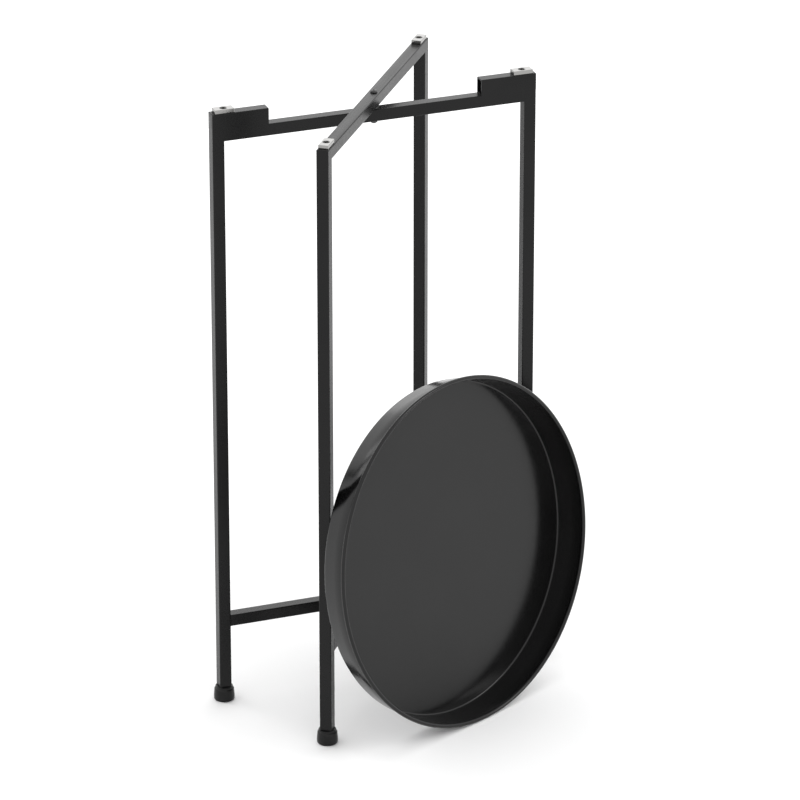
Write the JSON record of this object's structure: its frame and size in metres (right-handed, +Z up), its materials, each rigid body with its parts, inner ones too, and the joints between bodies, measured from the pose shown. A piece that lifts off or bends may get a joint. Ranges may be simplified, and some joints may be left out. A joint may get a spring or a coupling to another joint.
{
  "type": "folding tray table",
  "caption": "Round steel tray with a low rim, leaning on a folding stand of crossed square-tube frames whose upper ends carry magnets that hold the tray.",
  "frame": {"origin": "centre of the whole object's box, on the floor", "axes": "+Z up; -Y is the side the leaning tray faces; X runs along the tray's width"},
  "size_m": [0.349, 0.2324, 0.624],
  "materials": {
    "frame_coat": "satin black powder coat",
    "tray_coat": "satin black powder coat",
    "rubber_foot": "moulded black rubber, slightly shiny",
    "magnet": "bright nickel plate",
    "screw": "black oxide",
    "pivot_fixing": "satin black"
  },
  "bodies": {
    "under_frame": {"under_leg_right": "frame_coat", "under_leg_left": "frame_coat", "under_top_rail": "frame_coat", "under_low_rail": "frame_coat", "under_block_right": "frame_coat", "under_block_left": "frame_coat", "foot_under_right": "rubber_foot", "foot_under_left": "rubber_foot", "magnet_under_right": "magnet", "magnet_under_left": "magnet", "screw_under_right": "screw", "screw_under_left": "screw", "upper_bolt": "pivot_fixing", "lower_bolt": "pivot_fixing", "upper_spacer": "pivot_fixing", "lower_spacer": "pivot_fixing", "upper_nut": "pivot_fixing", "lower_nut": "pivot_fixing"},
    "over_frame": {"over_leg_left": "frame_coat", "over_leg_right": "frame_coat", "over_top_rail": "frame_coat", "over_low_rail": "frame_coat", "foot_over_left": "rubber_foot", "foot_over_right": "rubber_foot", "magnet_over_left": "magnet", "magnet_over_right": "magnet", "screw_over_left": "screw", "screw_over_right": "screw"},
    "tray": {"tray": "tray_coat"}
  },
  "joints": [
    {"name": "fold", "type": "hinge", "parent": "under_frame", "child": "over_frame", "pos_m": [0, 0.035, 0.6], "axis": [0, 0, 1], "range_deg": [-44, 0]},
    {"name": "tray_lift", "type": "slide", "parent": "under_frame", "child": "tray", "axis": [0, 0, 1], "range_m": [0, 0.65]}
  ]
}
